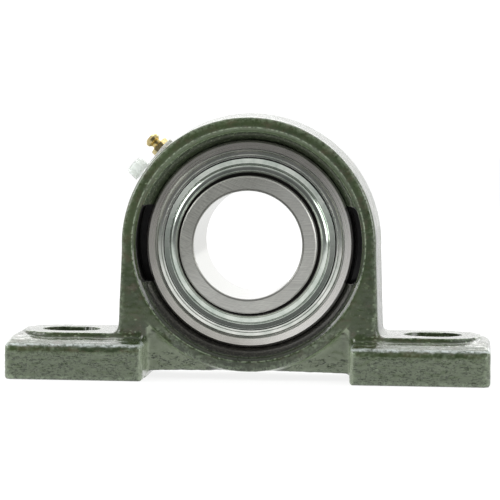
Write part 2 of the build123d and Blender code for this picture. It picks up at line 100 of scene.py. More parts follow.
# ---------------- material helper
class Shader:
    """Nodes of a material or the world, written as calls: each returns an output for the next."""

    def __init__(self, name, family="materials"):
        self.block = getattr(bpy.data, family).new(name)
        self.block.use_nodes = True
        self.tree = self.block.node_tree
        self.tree.nodes.clear()

    def node(self, kind, inputs=None, output=0, **settings):
        """Adds a node, sets its properties, feeds its inputs and returns the output."""
        item = self.tree.nodes.new("ShaderNode" + kind)
        for key, value in settings.items():
            setattr(item, key, value)
        for key, value in (inputs or {}).items():
            socket = item.inputs[key]
            if isinstance(value, bpy.types.NodeSocket):
                self.tree.links.new(value, socket)
            else:
                socket.default_value = value
        return item.outputs[output] if item.outputs else None

    def math(self, operation, a, b=0.0, c=0.0):
        return self.node("Math", {0: a, 1: b, 2: c}, operation=operation)

    def times(self, first, *others):
        """Product of two values or more."""
        for other in others:
            first = self.math("MULTIPLY", first, other)
        return first

    def larger(self, first, *others):
        """The largest of two values or more."""
        for other in others:
            first = self.math("MAXIMUM", first, other)
        return first

    def plain(self, value):
        """A value without its sign."""
        return self.math("ABSOLUTE", value)

    def span(self, value, low, high, to_low=0.0, to_high=1.0, **settings):
        """Maps a span of values to another, held at its ends."""
        limits = {"From Min": low, "From Max": high, "To Min": to_low, "To Max": to_high}
        return self.node("MapRange", {"Value": value, **limits}, **settings)

    def blend(self, share, a, b):
        """Number between two others."""
        return self.node("Mix", {0: share, 2: a, 3: b})

    def mix(self, share, a, b):
        """Colour between two others."""
        return self.node("Mix", {0: share, 6: a, 7: b}, output=2, data_type="RGBA")

    def noise(self, vector, scale, detail=3.0, roughness=0.5, distortion=0.0):
        inputs = {
            "Vector": vector,
            "Scale": scale,
            "Detail": detail,
            "Roughness": roughness,
            "Distortion": distortion,
        }
        return self.node("TexNoise", inputs)

    def place(self):
        """Position on the part, in metres."""
        return self.node("TexCoord", output=3)

    def split(self, vector):
        """The three numbers of a vector."""
        return tuple(self.node("SeparateXYZ", {0: vector}).node.outputs)

    def distance(self, x, z, centre_x, centre_z):
        """Distance from a point of the plane across the shaft."""
        dx = self.math("SUBTRACT", x, centre_x)
        dz = self.math("SUBTRACT", z, centre_z)
        return self.math("SQRT", self.math("ADD", self.times(dx, dx), self.times(dz, dz)))

    def about_shaft(self):
        """Radius about the shaft and place along it."""
        x, y, z = self.split(self.place())
        return self.distance(x, z, 0.0, BEARING_HEIGHT), y

    def facing(self, axis):
        """How far the surface faces along an axis of the part, bump left out."""
        return self.split(self.node("TexCoord", output=1))[axis]

    def band(self, value, middle, half, fade):
        """1 within half of a middle value, falling to 0 at fade."""
        return self.span(self.plain(self.math("SUBTRACT", value, middle)), half, fade, 1, 0)

    def stretch(self, vector, scale):
        return self.node("Mapping", {"Vector": vector, "Scale": scale})

    def bump(self, height, distance, strength=1.0, normal=None):
        inputs = {"Height": height, "Distance": distance, "Strength": strength}
        if normal:
            inputs["Normal"] = normal
        return self.node("Bump", inputs)

    def finish(self, shader, output="OutputMaterial"):
        """Ends the nodes in a shader and returns their material or world."""
        self.node(output, {"Surface": shader})
        return self.block

    def principled(self, inputs):
        """Ends the material in one Principled shader."""
        return self.finish(self.node("BsdfPrincipled", inputs))


def linear(red, green, blue):
    """Colour written in display values from 0 to 255, as the linear values that a shader takes."""

    def channel(value):
        value /= 255
        return value / 12.92 if value <= 0.04045 else ((value + 0.055) / 1.055) ** 2.4

    return (channel(red), channel(green), channel(blue), 1)


def shade(colour, share):
    """A colour darkened to a share of itself."""
    return tuple(share * value for value in colour[:3]) + (1,)


# ---------------- studio
# The world's strength by how far a ray runs along Y: from, to, and the strength at each. It is
# dark on the camera's side, pale beside the part and brighter behind it.
WORLD_FADE = (-0.82, -0.32, 0.14, 0.84)
WORLD_BACK = (0.3, 0.85, 0.0, 0.4)

FLOOR_HALF = 4.0  # metres
FLOOR_FRONT = (-0.75, -0.32)  # where the mirrored floor turns from dark to white, along Y
FLOOR_FRONT_STRENGTH = 0.2
FLOOR_MATT = (0.8, 0.8, 0.8, 1)
FLOOR_SHADOWED = (0.22, 0.22, 0.22, 1)  # the share of the seen floor that shadows darken
FLOOR_GLOW = 0.84  # the share that stays white

# Lamps: name, place, aim, size and power.
SOFT_BOXES = (
    ("top_box", (0, 0.35, 0.85), (0, 0, 0), (1.0, 0.6), 4),
    ("back_box", (0, 1.3, 0.8), (0, 0, 0.05), (2.4, 0.5), 9),
    ("right_box", (0.9, -0.5, 0.3), (0, 0, 0.05), (0.6, 0.5), 3.8),
    ("left_box", (-0.9, -0.4, 0.5), (0, 0, 0.05), (0.6, 0.5), 4.8),
)


def make_world():
    """White to the camera, and to the part pale behind it and dark on the camera's side."""
    shader = Shader("studio", "worlds")
    along = shader.split(shader.node("TexCoord"))[1]
    fades = [
        shader.span(along, *fade, interpolation_type="SMOOTHSTEP")
        for fade in (WORLD_FADE, WORLD_BACK)
    ]
    seen = shader.node("LightPath").node.outputs["Is Camera Ray"]
    strength = shader.larger(seen, shader.math("ADD", *fades))
    background = shader.node("Background", {"Color": (1, 1, 1, 1), "Strength": strength})
    bpy.context.scene.world = shader.finish(background, "OutputWorld")


def soft_box(name, place, aim, size, power):
    """Rectangular lamp that the camera doesn't see."""
    data = bpy.data.lights.new(name, "AREA")
    data.shape = "RECTANGLE"
    data.size, data.size_y = size
    data.energy = power
    lamp = new_object(name, data)
    lamp.location = place
    lamp.rotation_euler = (Vector(aim) - Vector(place)).to_track_quat("-Z", "Y").to_euler()
    lamp.visible_camera = False


def make_floor():
    """Pale floor: white with a soft shadow to the camera, and white to metal, dark at its front."""
    mesh = bpy.data.meshes.new("floor")
    ends = ((-1, -1), (1, -1), (1, 1), (-1, 1))
    corners = [(x * FLOOR_HALF, y * FLOOR_HALF, 0) for x, y in ends]
    mesh.from_pydata(corners, [], [(0, 1, 2, 3)])
    floor = new_object("floor", mesh)
    shader = Shader("floor_white")
    seen = shader.node("LightPath").node.outputs
    past_front = shader.span(shader.split(shader.place())[1], *FLOOR_FRONT)
    matt = shader.node("BsdfDiffuse", {"Color": FLOOR_MATT})
    shadowed = shader.node("BsdfDiffuse", {"Color": FLOOR_SHADOWED})
    glow = shader.node("Emission", {"Strength": FLOOR_GLOW})
    white = shader.node("AddShader", {0: shadowed, 1: glow})
    strength = shader.span(past_front, 0, 1, FLOOR_FRONT_STRENGTH, 1.0)
    mirrored = shader.node("Emission", {"Strength": strength})
    rays = shader.larger(seen["Is Glossy Ray"], seen["Is Transmission Ray"])
    lit = shader.node("MixShader", {0: rays, 1: matt, 2: mirrored})
    both = shader.node("MixShader", {0: seen["Is Camera Ray"], 1: lit, 2: white})
    mesh.materials.append(shader.finish(both))


def make_studio():
    """Pale floor, white backdrop seen through the world, and soft boxes."""
    bpy.context.scene.view_settings.view_transform = "Standard"
    make_world()
    for numbers in SOFT_BOXES:
        soft_box(*numbers)
    make_floor()


# ---------------- casting
ARCH_FACE = 18 * MM  # half the arch's width
ARCH_RADIUS = 52 * MM
ARCH_DRAFT = math.radians(5)
MOUTH_RADIUS = 44.7 * MM
MOUTH_CHAMFER = 1.7 * MM
SEAT_RADIUS = 42.53 * MM
SEAT_HALF = 9.5 * MM
SEAT_STEPS = 25
GROOVE_PLACE = 6.7 * MM
GROOVE_HALF = 1.5 * MM
GROOVE_RADIUS = 43.73 * MM
GROOVE_FALLS = (0.3 * MM, 0.8 * MM)  # how far the seat has fallen at the groove's edges
NOTCH_RADIUS = 45 * MM
NOTCH_START = 30 * MM
NOTCH_HALF_HEIGHT = 15.3 * MM
NOTCH_CORNER = 3.2 * MM
NOTCH_CORNER_STEPS, NOTCH_SIDE_STEPS = 8, 20
FOOT_FACE = 27 * MM
FOOT_INNER = 40.8 * MM
FOOT_EDGE_TOP = 15 * MM
FOOT_ROUND = 4.4 * MM
FOOT_ROUND_START = FOOT_INNER - 1 * MM
WAIST_FACE = 13.5 * MM
POCKET_START = FOOT_INNER * 0.68
POCKET_END = FOOT_INNER + 3 * MM
POCKET_SLOPE_LOW = 15 * MM
POCKET_SLOPE_HIGH = 25 * MM
POCKET_SLOPE_STEPS = 12
POCKET_SLOPE_FACE = ARCH_FACE - 0.1 * MM
POCKET_SLOPE_ROOT = WAIST_FACE - 4 * MM
PAD_TOP = 18.1 * MM
BOLT_X = 73 * MM
SLOT_WIDTH = 17.3 * MM
SLOT_LENGTH = 23.3 * MM
BORE_STEPS, PLUG_STEPS, SLOT_END_STEPS, HOLE_STEPS = 320, 128, 24, 64
PAST = 2 * MM  # how far cuts run past a face
OVERLAP = 1 * MM  # how far one hole's cutter reaches into the next hole

# Grease nipple's seat on the arch, and where its cap swings.
NIPPLE_ANGLE = math.radians(135)
NIPPLE_LEAN = math.radians(139)
NIPPLE_AXIS = Vector((math.cos(NIPPLE_LEAN), 0, math.sin(NIPPLE_LEAN)))
NIPPLE_ALONG = 6.7 * MM
SPOT_FACE_CUT = 0.2 * MM
SPOT_FACE_RADIUS = 5.6 * MM
SPOT_FACE_CLEAR = 5 * MM
NIPPLE_HOLE_RADIUS = 3 * MM
NIPPLE_HOLE_DEPTH = 6.4 * MM
GREASE_HOLE_RADIUS = 1.6 * MM
GREASE_HOLE_DEPTH = 9.5 * MM
CAP_SWING, CAP_SWING_FADE = 20 * MM, 4 * MM

# Remeshing and smoothing.
CASTING_VOXEL = 0.646 * MM
WELD_DISTANCE = 0.002 * MM
PLUG_RADIUS = MOUTH_RADIUS + 2.5 * MM  # fills the bore until it is cut clean
PLUG_HALF = ARCH_FACE - 0.3 * MM
CORNER_SPACING = 0.5 * MM
CORNER_ANGLE = math.radians(20)
CORNER_REACH = 1.6 * MM
CORNER_ROUNDS = 26
POCKET_ROUNDS = 70
BORE_CLEAR = 3 * MM  # no wide fillet this near the bore, or the nipple
NIPPLE_CLEAR = 8 * MM
PAD_START = (56 * MM, 12 * MM)  # nor where a bolt pad stands, across and up
MACHINED_FACING, MACHINED_TOP = -0.7, 0.4 * MM  # the base keeps its machined face
SMOOTH_ANGLE = math.radians(48)

# Regions smoothed or shaped further, each as where it starts or ends and the width of its fade.
POCKET_SIDE = (3.6 * MM, 1.2 * MM)  # away from the foot's inner end
POCKET_SIDE_LOW = (16.2 * MM, 1 * MM)
POCKET_SIDE_HIGH = (POCKET_SLOPE_HIGH + 3 * MM, 1.5 * MM)
POCKET_SIDE_DEPTH = WAIST_FACE - 3 * MM
RING_FALL = 1.1 * MM
RING_FALL_START, RING_FALL_END = (46.6 * MM, 5.2 * MM), (54 * MM, 1.8 * MM)  # radius
RING_FALL_TOP = (30 * MM, 10 * MM)
RING_FALL_SIDE = (40 * MM, 3 * MM)
RING_PROUD = (14.5 * MM, 3.5 * MM)

# Worn paint and painted highlights on edges: how far a vertex stands out where they start, and how much further
# they are full.
EDGE_MEAN_ROUNDS, EDGE_BLUR_ROUNDS = 3, 2
EDGE_STAND = (0.03 * MM, 0.13 * MM)

# Cast skin, in millimetres: how far each roughness stands out, and how fine it is.
SKIN_WAVE, WAVE_SCALE = 0.05, 0.09
SKIN_GRAIN, GRAIN_SCALE = 0.018, 1.1
SKIN_WRINKLE, WRINKLE_SCALE = 0.035, (0.36, 0.5, 0.8)
WAVE_OCTAVES, WRINKLE_OCTAVES = (1.0, 2.0, 2), (0.9, 2.1, 3)  # fall, spacing and number
FEET_WRINKLE, FEET_TOP, FEET_FADE = 0.09, 20, 4  # more on the feet, up to a height
LOWER_WRINKLE, LOWER_TOP, LOWER_FADE = 0.035, 34, 14  # and more on the lower half
SWING_RELIEF = 0.2  # left off where the cap swings


def about_shaft(along, radius, angle):
    """Point at an angle, in radians, and a radius about the shaft."""
    height = BEARING_HEIGHT + radius * math.sin(angle)
    return Vector((radius * math.cos(angle), along, height))


def mesh_data(name, work):
    """Mesh made from a bmesh, with its faces turned outwards."""
    bmesh.ops.recalc_face_normals(work, faces=work.faces)
    data = bpy.data.meshes.new(name)
    work.to_mesh(data)
    work.free()
    return data


def lathe(name, profile, steps, closed=True):
    """Turned solid about the shaft, from a profile of (along, radius) points."""
    work = bmesh.new()
    rings = []
    for along, radius in profile:
        if radius == 0:
            rings.append([work.verts.new(about_shaft(along, 0, 0))] * steps)
        else:
            turns = [2 * math.pi * step / steps for step in range(steps)]
            rings.append([work.verts.new(about_shaft(along, radius, turn)) for turn in turns])
    pairs = list(zip(rings, rings[1:]))
    if closed:
        pairs.append((rings[-1], rings[0]))
    for first, second in pairs:
        for step in range(steps):
            corners = [first[step], first[step - 1], second[step - 1], second[step]]
            corners = list(dict.fromkeys(corners))
            if len(corners) > 2:
                work.faces.new(corners)
    return new_object(name, mesh_data(name, work))


def prism(name, outline, low, high, place):
    """Solid between two heights over a flat outline; place turns (u, v, height) into a point."""
    work = bmesh.new()
    bottom = [work.verts.new(place(u, v, low)) for u, v in outline]
    top = [work.verts.new(place(u, v, high)) for u, v in outline]
    work.faces.new(bottom)
    work.faces.new(top)
    for step in range(len(outline)):
        work.faces.new([bottom[step - 1], bottom[step], top[step], top[step - 1]])
    return new_object(name, mesh_data(name, work))


def arc(centre, radius, start, end, steps):
    """Points along an arc, from one angle to another."""
    turns = [start + (end - start) * step / steps for step in range(steps + 1)]
    return [
        (centre[0] + radius * math.cos(turn), centre[1] + radius * math.sin(turn))
        for turn in turns
    ]


def apply_modifier(piece, kind, **settings):
    """Adds a modifier and replaces the piece's mesh with the result."""
    modifier = piece.modifiers.new("work", kind)
    for key, value in settings.items():
        setattr(modifier, key, value)
    evaluated = piece.evaluated_get(bpy.context.evaluated_depsgraph_get())
    data = bpy.data.meshes.new_from_object(evaluated)
    piece.modifiers.clear()
    old = piece.data
    piece.data = data
    bpy.data.meshes.remove(old)


def cut(piece, cutter):
    """Takes a cutter away from a piece, and removes the cutter."""
    apply_modifier(piece, "BOOLEAN", operation="DIFFERENCE", solver="MANIFOLD", object=cutter)
    bpy.data.objects.remove(cutter)


def corner_points(mesh, spacing):
    """Points along the sharp concave edges of a mesh."""
    points = []
    for edge in mesh.edges:
        if len(edge.link_faces) != 2 or edge.is_convex:
            continue
        if edge.calc_face_angle() < CORNER_ANGLE:
            continue
        a, b = edge.verts
        count = max(1, int((a.co - b.co).length / spacing))
        points += [a.co.lerp(b.co, step / count) for step in range(count + 1)]
    return points


def vertex_vectors(mesh, kind):
    """Every vertex's place, "co", or its "normal"."""
    values = np.empty(len(mesh.vertices) * 3)
    mesh.vertices.foreach_get(kind, values)
    return values.reshape(-1, 3)


def edge_ends(mesh):
    """The two vertices of every edge."""
    ends = np.empty(len(mesh.edges) * 2, int)
    mesh.edges.foreach_get("vertices", ends)
    return ends.reshape(-1, 2)


def neighbour_mean(places, ends, count):
    """For every vertex, the mean of its neighbours."""
    total = np.zeros_like(places)
    for axis in range(places.shape[1]):
        total[:, axis] += np.bincount(ends[:, 0], places[ends[:, 1], axis], count)
        total[:, axis] += np.bincount(ends[:, 1], places[ends[:, 0], axis], count)
    degree = np.bincount(ends.ravel(), minlength=count)
    return total / degree[:, None]


def relax(mesh, weight, rounds):
    """Smooths a mesh where weight is above 0."""
    places = vertex_vectors(mesh, "co")
    ends = edge_ends(mesh)
    for _ in range(rounds):
        places += weight[:, None] * 0.5 * (neighbour_mean(places, ends, len(places)) - places)
    mesh.vertices.foreach_set("co", places.ravel())
    mesh.update()


def rising(value, start, width):
    """0 up to a start, rising to 1 over a width."""
    return np.clip((value - start) / width, 0, 1)


def falling(value, end, width):
    """1 until a width before an end, and 0 from there."""
    return np.clip((end - value) / width, 0, 1)


def bearing_bore():
    """Everything turned out of the casting: mouths, cones, ball-shaped seat and grease groove."""
    mouth_edge = ARCH_FACE - MOUTH_CHAMFER
    end = ARCH_FACE + PAST
    end_radius = MOUTH_RADIUS + MOUTH_CHAMFER + PAST
    sweep = math.asin(SEAT_HALF / SEAT_RADIUS)
    seat = [
        (SEAT_RADIUS * math.sin(turn), SEAT_RADIUS * math.cos(turn))
        for turn in np.linspace(-sweep, sweep, SEAT_STEPS)
    ]
    start, stop = GROOVE_PLACE - GROOVE_HALF, GROOVE_PLACE + GROOVE_HALF
    before = [point for point in seat if point[0] < start]
    after = [point for point in seat if point[0] > stop]
    groove = [
        (start, SEAT_RADIUS - GROOVE_FALLS[0]),
        (start, GROOVE_RADIUS),
        (stop, GROOVE_RADIUS),
        (stop, SEAT_RADIUS - GROOVE_FALLS[1]),
    ]
    front = [(-end, 0), (-end, end_radius), (-mouth_edge, MOUTH_RADIUS)]
    back = [(mouth_edge, MOUTH_RADIUS), (end, end_radius), (end, 0)]
    profile = front + before + groove + after + back
    return lathe("bore_cut", profile, BORE_STEPS, closed=False)


def loading_notch(side):
    """One of the two notches that let the insert in, from the front to the middle of the seat."""
    inner = NOTCH_RADIUS - NOTCH_CORNER
    middle_height = NOTCH_HALF_HEIGHT - NOTCH_CORNER
    reach = math.asin(middle_height / inner)
    outline = [(side * NOTCH_START, -NOTCH_HALF_HEIGHT)]
    for end, turns in ((-1, (-math.pi / 2, -reach)), (1, (reach, math.pi / 2))):
        outline += [
            (
                side * inner * math.cos(reach) + side * NOTCH_CORNER * math.cos(turn),
                end * middle_height + NOTCH_CORNER * math.sin(turn),
            )
            for turn in np.linspace(*turns, NOTCH_CORNER_STEPS)
        ]
        if end < 0:
            outline += [
                (side * NOTCH_RADIUS * math.cos(turn), NOTCH_RADIUS * math.sin(turn))
                for turn in np.linspace(-reach, reach, NOTCH_SIDE_STEPS)[1:-1]
            ]
    outline.append((side * NOTCH_START, NOTCH_HALF_HEIGHT))
    return prism(
        "notch_cut",
        outline,
        -ARCH_FACE - PAST,
        0,
        lambda u, v, height: Vector((u, height, BEARING_HEIGHT + v)),
    )


def bolt_slot(side):
    """Cutter that leaves a bolt slot's wall clean."""
    radius, quarter = SLOT_WIDTH / 2, math.pi / 2
    half = SLOT_LENGTH / 2 - radius
    outline = arc((side * BOLT_X + half, 0), radius, -quarter, quarter, SLOT_END_STEPS)
    outline += arc((side * BOLT_X - half, 0), radius, quarter, 3 * quarter, SLOT_END_STEPS)
    return prism("slot_cut", outline, -PAST, PAD_TOP + PAST, lambda *point: Vector(point))


def nipple_place(height):
    """Point on the nipple's axis at a height over its seat."""
    seat_radius = ARCH_RADIUS - NIPPLE_ALONG * math.tan(ARCH_DRAFT) - SPOT_FACE_CUT
    return about_shaft(NIPPLE_ALONG, seat_radius, NIPPLE_ANGLE) + NIPPLE_AXIS * height


def nipple_cutter(radius, low, high):
    """Cylinder on the nipple's axis between two heights over its seat."""
    across = Vector((0, 1, 0))
    up = NIPPLE_AXIS.cross(across)
    seat = nipple_place(0)
    return prism(
        "nipple_cut",
        arc((0, 0), radius, 0, 2 * math.pi, HOLE_STEPS)[:-1],
        low,
        high,
        lambda u, v, height: seat + across * u + up * v + NIPPLE_AXIS * height,
    )


def skin_height(place, normal):
    """How far the cast and painted skin stands out from the pattern's surface."""

    def within(value):
        return min(max(value, 0), 1)

    x, y, z = place / MM
    on_feet = within((FEET_TOP - z) / FEET_FADE)
    on_lower_half = within((LOWER_TOP - z) / LOWER_FADE)
    upright = 1 if abs(normal.y) > 0.7 else 0.5
    wave = noise.fractal(Vector((x, y, z)) * WAVE_SCALE, *WAVE_OCTAVES)
    stretched = Vector((x * WRINKLE_SCALE[0], y * WRINKLE_SCALE[1], z * WRINKLE_SCALE[2]))
    wrinkle = noise.fractal(stretched, *WRINKLE_OCTAVES)
    grain = noise.noise(Vector((x, y, z)) * GRAIN_SCALE)
    rough = SKIN_WRINKLE + FEET_WRINKLE * on_feet * upright + LOWER_WRINKLE * on_lower_half
    swing = within((CAP_SWING - (place - nipple_place(0)).length) / CAP_SWING_FADE)
    height = SKIN_WAVE * wave + rough * wrinkle + SKIN_GRAIN * grain - SWING_RELIEF * swing
    return height * MM


def pocket_slope(side, front):
    """Wedge that lets a pocket's top run out into the arch's face."""
    rows = []
    for step in range(POCKET_SLOPE_STEPS + 1):
        share = step / POCKET_SLOPE_STEPS
        height = POCKET_SLOPE_LOW + (POCKET_SLOPE_HIGH - POCKET_SLOPE_LOW) * share
        rise = share * share * (3 - 2 * share)
        rows.append((height, WAIST_FACE + (POCKET_SLOPE_FACE - WAIST_FACE) * rise))
    rows.append((POCKET_SLOPE_HIGH, POCKET_SLOPE_ROOT))
    rows.append((POCKET_SLOPE_LOW, POCKET_SLOPE_ROOT))
    work = bmesh.new()
    inner, outer = (
        [work.verts.new((side * x, front * y, z)) for z, y in rows]
        for x in (POCKET_START, POCKET_END)
    )
    work.faces.new(inner)
    work.faces.new(outer)
    for step in range(len(rows)):
        work.faces.new([inner[step - 1], inner[step], outer[step], outer[step - 1]])
    return mesh_data("wedge", work)


def pocket_sides(places):
    """1 where a pocket's sloped top runs into the leg beside it, fading to 0 around that."""
    x, y, z = np.abs(places[:, 0]), np.abs(places[:, 1]), places[:, 2]
    beside = falling(np.abs(x - FOOT_INNER), *POCKET_SIDE)
    tall = rising(z, *POCKET_SIDE_LOW) * falling(z, *POCKET_SIDE_HIGH)
    return beside * tall * (y > POCKET_SIDE_DEPTH)


def round_feet(places):
    """Rounds the long top edges of the feet as widely as the casting has them."""
    x, y, z = np.abs(places[:, 0]), np.abs(places[:, 1]), places[:, 2]
    u = FOOT_ROUND - (FOOT_FACE - y)
    v = FOOT_ROUND - (FOOT_EDGE_TOP - z)
    away = np.hypot(u, v)
    pull = (x > FOOT_ROUND_START) & (away > FOOT_ROUND) & (u > 0) & (v > 0)
    scale = np.where(pull, FOOT_ROUND / np.maximum(away, 1e-9), 1)
    rounded_y = np.sign(places[:, 1]) * (FOOT_FACE - FOOT_ROUND + u * scale)
    places[:, 1] = np.where(pull, rounded_y, places[:, 1])
    places[:, 2] = np.where(pull, FOOT_EDGE_TOP - FOOT_ROUND + v * scale, places[:, 2])


def round_lower_ring(places):
    """Lets the ring's faces fall away towards its outer edge where it stands proud of the web."""
    x, y, z = np.abs(places[:, 0]), np.abs(places[:, 1]), places[:, 2]
    radius = np.hypot(places[:, 0], z - BEARING_HEIGHT)
    outward = rising(radius, *RING_FALL_START)
    lowness = falling(z, *RING_FALL_TOP)
    proud = rising(y, *RING_PROUD)
    inside = falling(radius, *RING_FALL_END) * falling(x, *RING_FALL_SIDE)
    fall = RING_FALL * outward**2 * lowness * proud * inside
    places[:, 1] -= np.sign(places[:, 1]) * fall


def is_filleted(point):
    """Whether a concave corner has a wide fillet: not in the bore, at the nipple or a bolt pad."""
    in_bore = math.hypot(point.x, point.z - BEARING_HEIGHT) <= MOUTH_RADIUS + BORE_CLEAR
    at_nipple = (point - nipple_place(0)).length <= NIPPLE_CLEAR
    at_pad = abs(point.x) > PAD_START[0] and point.z > PAD_START[1]
    return not (in_bore or at_nipple or at_pad)


def make_pattern():
    """The CAD housing with its bore filled and its pockets sloped, and its concave corners."""
    solid = bmesh.new()
    solid.from_mesh(nodes["housing"].data)
    bmesh.ops.remove_doubles(solid, verts=solid.verts, dist=WELD_DISTANCE)
    corners = [point for point in corner_points(solid, CORNER_SPACING) if is_filleted(point)]
    rim = [(-PLUG_HALF, PLUG_RADIUS), (PLUG_HALF, PLUG_RADIUS)]
    profile = [(-PLUG_HALF, 0), *rim, (PLUG_HALF, 0)]
    plug = lathe("plug", profile, PLUG_STEPS, closed=False)
    solid.from_mesh(plug.data)
    bpy.data.objects.remove(plug)
    for side in (-1, 1):
        for front in (-1, 1):
            solid.from_mesh(pocket_slope(side, front))
    data = bpy.data.meshes.new("housing_casting")
    solid.to_mesh(data)
    solid.free()
    return new_object("housing_casting", data), corners


def round_corners(mesh, corners):
    """Rounds the concave corners as a foundry pattern's fillets do."""
    tree = kdtree.KDTree(len(corners))
    for index, point in enumerate(corners):
        tree.insert(point, index)
    tree.balance()
    near = np.array([tree.find(vertex.co)[2] for vertex in mesh.vertices])
    relax(mesh, np.clip(1.5 - near / CORNER_REACH, 0, 1), CORNER_ROUNDS)
    relax(mesh, pocket_sides(vertex_vectors(mesh, "co")), POCKET_ROUNDS)


def lay_skin(mesh):
    """Rounds the feet and lays the cast skin on everything but the machined base."""
    places = vertex_vectors(mesh, "co")
    round_feet(places)
    mesh.vertices.foreach_set("co", places.ravel())
    relax(mesh, np.ones(len(mesh.vertices)), 1)
    places = vertex_vectors(mesh, "co")
    normals = vertex_vectors(mesh, "normal")
    skin = np.array([skin_height(Vector(p), Vector(n)) for p, n in zip(places, normals)])
    machined = (normals[:, 2] < MACHINED_FACING) & (places[:, 2] < MACHINED_TOP)
    places += normals * np.where(machined, 0, skin)[:, None]
    places[:, 2] = np.where(machined, 0, np.maximum(places[:, 2], 0))
    round_lower_ring(places)
    mesh.vertices.foreach_set("co", places.ravel())
    mesh.update()


def mark_edges(mesh):
    """Writes how far each vertex stands out from its surroundings, 0 to 1, as "edge"."""
    places = vertex_vectors(mesh, "co")
    ends = edge_ends(mesh)
    smooth = places
    for _ in range(EDGE_MEAN_ROUNDS):
        smooth = neighbour_mean(smooth, ends, len(places))
    stand = ((places - smooth) * vertex_vectors(mesh, "normal")).sum(axis=1)[:, None]
    for _ in range(EDGE_BLUR_ROUNDS):
        stand = 0.5 * stand + 0.5 * neighbour_mean(stand, ends, len(places))
    value = rising(stand[:, 0], *EDGE_STAND)
    mesh.attributes.new("edge", "FLOAT", "POINT").data.foreach_set("value", value)


def make_casting():
    """The housing with the rounded corners, skin and machined faces of a real casting."""
    casting, corners = make_pattern()
    apply_modifier(casting, "REMESH", mode="VOXEL", voxel_size=CASTING_VOXEL, adaptivity=0)
    round_corners(casting.data, corners)
    lay_skin(casting.data)
    mark_edges(casting.data)

    cut(casting, bearing_bore())
    for side in (-1, 1):
        cut(casting, loading_notch(side))
        cut(casting, bolt_slot(side))
    hole_end = OVERLAP - NIPPLE_HOLE_DEPTH
    cut(casting, nipple_cutter(SPOT_FACE_RADIUS, 0, SPOT_FACE_CLEAR))
    cut(casting, nipple_cutter(NIPPLE_HOLE_RADIUS, -NIPPLE_HOLE_DEPTH, OVERLAP))
    cut(casting, nipple_cutter(GREASE_HOLE_RADIUS, -GREASE_HOLE_DEPTH, hole_end))
    mesh = casting.data
    mesh.shade_smooth()
    mesh.set_sharp_from_angle(angle=SMOOTH_ANGLE)
    mesh.materials.clear()
    mesh.materials.append(enamel)
    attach(casting, "housing")
    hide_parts("housing")


# ---------------- seals and spring
SEAL_STEPS = 288
SEAL_SMOOTH_ANGLE = math.radians(60)

# Profiles of the pressed sheets, in millimetres: how far out along the shaft, and the radius.
FLINGER_FRONT = [
    (11.6, 29.1),
    (12.95, 29.1),
    (13.1, 29.3),
    (13.07, 29.8),
    (13.0, 30.25),
    (12.84, 30.7),
    (12.6, 31.15),
    (12.38, 31.45),
    (11.9, 31.68),
    (11.4, 31.76),
    (11.04, 31.92),
    (10.99, 32.12),
    (11.03, 32.5),
    (11.08, 33.1),
    (11.14, 33.75),
    (11.17, 34.05),
    (11.14, 34.12),
]
FLINGER_BACK = [
    (11.1, 34.0),
    (10.95, 33.7),
    (10.72, 33.1),
    (10.6, 32.5),
    (10.7, 31.95),
    (11.1, 31.45),
    (11.7, 31.15),
    (12.2, 30.85),
    (12.45, 30.5),
    (12.55, 30.1),
    (12.6, 29.6),
    (12.5, 29.12),
    (11.2, 29.11),
    (11.2, 28.6),
    (12.6, 28.6),
    (13.0, 28.8),
    (13.1, 29.2),
]
SHIELD_FRONT = [
    (8.8, 31.0),
    (8.85, 33.6),
    (9.0, 34.0),
    (9.7, 34.3),
    (9.96, 34.55),
    (9.93, 34.9),
    (9.86, 35.28),
    (9.72, 35.36),
    (9.7, 35.44),
    (9.88, 35.52),
    (9.84, 35.9),
    (9.74, 36.5),
    (9.66, 36.86),
    (9.36, 37.04),
    (8.78, 37.12),
    (8.7, 37.2),
    (8.7, 37.6),
]
SHIELD_BACK = [
    (8.2, 37.6),
    (8.2, 36.8),
    (8.7, 36.5),
    (9.2, 36.3),
    (9.3, 34.7),
    (8.4, 34.2),
    (8.3, 33.8),
    (8.3, 31.0),
]


def rounded(points, rounds=2):
    """Cuts the corners of a line until it runs smoothly; the ends stay."""
    for _ in range(rounds):
        fresh = [points[0]]
        for (a, b), (c, d) in zip(points, points[1:]):
            fresh.append((0.8 * a + 0.2 * c, 0.8 * b + 0.2 * d))
            fresh.append((0.2 * a + 0.8 * c, 0.2 * b + 0.8 * d))
        points = fresh + [points[-1]]
    return points


def make_seals():
    """Pressed shields and flingers with the rolled edges that show in the light."""
    flinger_line = rounded(FLINGER_FRONT + FLINGER_BACK)
    shield_line = rounded(SHIELD_FRONT) + SHIELD_BACK
    for node, body, slot, finish, profile in (
        ("flinger", "rotor", "flinger_zinc", flinger_zinc, flinger_line),
        ("seal_shield", "insert", "shield_zinc", shield_zinc, shield_line),
    ):
        for side, end in ((-1, "front"), (1, "back")):
            name = f"{node}_{end}"
            line = [(side * along * MM, radius * MM) for along, radius in profile]
            sheet = lathe(f"{name}_sheet", line, SEAL_STEPS)
            sheet.data.shade_smooth()
            sheet.data.set_sharp_from_angle(angle=SEAL_SMOOTH_ANGLE)
            sheet.data.materials.append(finish)
            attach(sheet, body)
            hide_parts(name)


def make_spring():
    """The spring in the nipple, as a copy of its coil on the housing."""
    lift = next(joint for joint in frame["joints"] if joint["name"] == "check_ball_lift")
    coil = new_object("nipple_spring_coil", nodes["nipple_spring"].data.copy())
    inward = Vector(lift["axis"])
    along = vertex_vectors(coil.data, "co") @ np.array(inward)
    fixed_end = coil.data.vertices[int(along.argmax())].co.copy()
    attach(coil, "housing")
    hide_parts("nipple_spring")
    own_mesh(coil)
